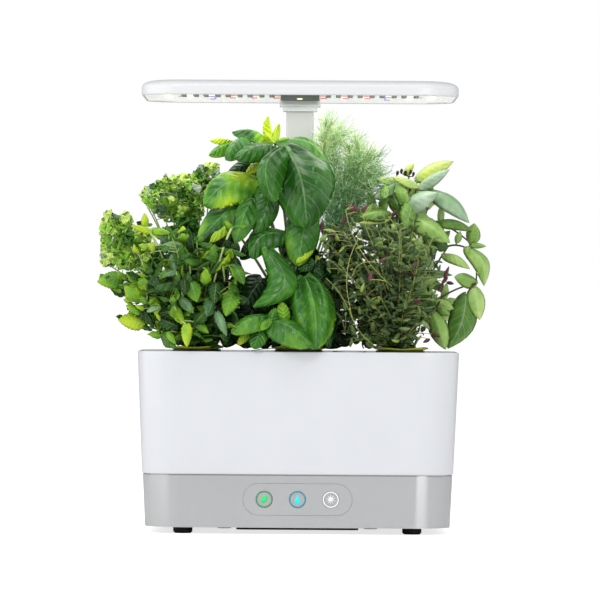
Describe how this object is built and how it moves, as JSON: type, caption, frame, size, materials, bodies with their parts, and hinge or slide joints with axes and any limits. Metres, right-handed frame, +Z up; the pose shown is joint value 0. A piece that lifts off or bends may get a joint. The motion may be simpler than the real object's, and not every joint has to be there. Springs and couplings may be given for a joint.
{
  "type": "countertop hydroponic garden",
  "caption": "Countertop herb garden: a white water bowl on a grey base with ring buttons, leafy herb pods in a deck, and a wide lamp hood on a sliding arm.",
  "frame": {"origin": "on the floor under the middle of the garden, midway between the lamp hood's front and rear edges and between its ends", "axes": "+Z up, -Y towards the buttons, +X to the right seen from the buttons"},
  "size_m": [0.3333, 0.205, 0.3749],
  "materials": {
    "silver_plastic": "satin silver-painted ABS",
    "black_plastic": "fine moulded texture",
    "dark_grey_plastic": "fine moulded texture",
    "black_rubber": "moulded, matt",
    "steel": "zinc-plated",
    "green_board": "solder mask",
    "milky_plastic": "translucent",
    "green_icon": "lit ring with a leaf",
    "cyan_icon": "lit ring with a drop",
    "white_icon": "ring with a sun",
    "grey_plastic": "satin moulded ABS",
    "white_gloss": "polished moulded ABS",
    "blue_plastic": "moulded",
    "black_foam": "open foam",
    "orange_plastic": "moulded",
    "peat_foam": "peat plug",
    "milky_white": "slightly translucent, polished",
    "white_matte": "matt reflector white",
    "white_board": "white solder mask on aluminium",
    "white_led": "phosphor under clear resin",
    "red_led": "clear resin",
    "blue_led": "clear resin",
    "clear_plastic": "clear moulded",
    "label_card": "coated card",
    "mint_leaf": "matt leaf",
    "basil_leaf": "glossy leaf",
    "thyme_leaf": "matt leaf",
    "parsley_leaf": "matt leaf",
    "dill_leaf": "matt threads",
    "thai_leaf": "satin leaf"
  },
  "bodies": {
    "garden": {"base_shell": "silver_plastic", "bottom_cover": "black_plastic", "front_feet": "black_rubber", "rear_feet": "black_rubber", "base_screws": "steel", "power_inlet": "black_plastic", "control_board": "green_board", "tact_switches": "black_plastic", "indicator_lights": "milky_plastic", "panel_bezel": "silver_plastic", "pump_motor": "black_plastic", "arm_tower": "silver_plastic", "column": "grey_plastic", "column_bush": "grey_plastic", "bowl": "white_gloss", "pump_shaft": "steel", "pump_cover": "black_plastic", "pump_filter": "black_foam", "riser_tube": "milky_plastic", "float_rod": "white_gloss", "grow_deck": "white_gloss", "basket_1": "black_plastic", "basket_2": "black_plastic", "basket_3": "black_plastic", "basket_4": "black_plastic", "basket_5": "black_plastic", "basket_6": "black_plastic", "label_1": "label_card", "label_2": "label_card", "label_3": "label_card", "label_4": "label_card", "label_5": "label_card", "label_6": "label_card", "grow_sponges": "peat_foam", "mint": "mint_leaf", "basil": "basil_leaf", "thyme": "thyme_leaf", "parsley": "parsley_leaf", "dill": "dill_leaf", "thai_basil": "thai_leaf"},
    "lamp": {"mast": "grey_plastic", "mast_glide": "grey_plastic", "neck_ring": "white_gloss", "hood_socket": "white_gloss", "hood_cover": "milky_white", "hood_reflector": "white_matte", "lamp_board": "white_board", "board_screws": "steel", "hood_spine": "dark_grey_plastic", "white_emitters": "white_led", "red_emitters": "red_led", "blue_emitters": "blue_led", "clear_posts": "clear_plastic"},
    "feed_button": {"feed_button": "green_icon"},
    "water_button": {"water_button": "cyan_icon"},
    "light_button": {"light_button": "white_icon"},
    "level_float": {"level_float": "orange_plastic"},
    "pump_rotor": {"pump_rotor": "blue_plastic"}
  },
  "joints": [
    {"name": "lamp_height", "type": "slide", "parent": "garden", "child": "lamp", "axis": [0, 0, 1], "range_m": [-0.008, 0.093]},
    {"name": "feed_press", "type": "slide", "parent": "garden", "child": "feed_button", "axis": [0, 1, 0], "range_m": [0, 0.0008], "stiffness_N_per_m": 1500},
    {"name": "water_press", "type": "slide", "parent": "garden", "child": "water_button", "axis": [0, 1, 0], "range_m": [0, 0.0008], "stiffness_N_per_m": 1500},
    {"name": "light_press", "type": "slide", "parent": "garden", "child": "light_button", "axis": [0, 1, 0], "range_m": [0, 0.0008], "stiffness_N_per_m": 1500},
    {"name": "float_rise", "type": "slide", "parent": "garden", "child": "level_float", "axis": [0, 0, 1], "range_m": [0, 0.07]},
    {"name": "rotor_spin", "type": "hinge", "parent": "garden", "child": "pump_rotor", "pos_m": [-0.0425, -0.019, 0.055], "axis": [0, 0, 1], "continuous": true}
  ]
}
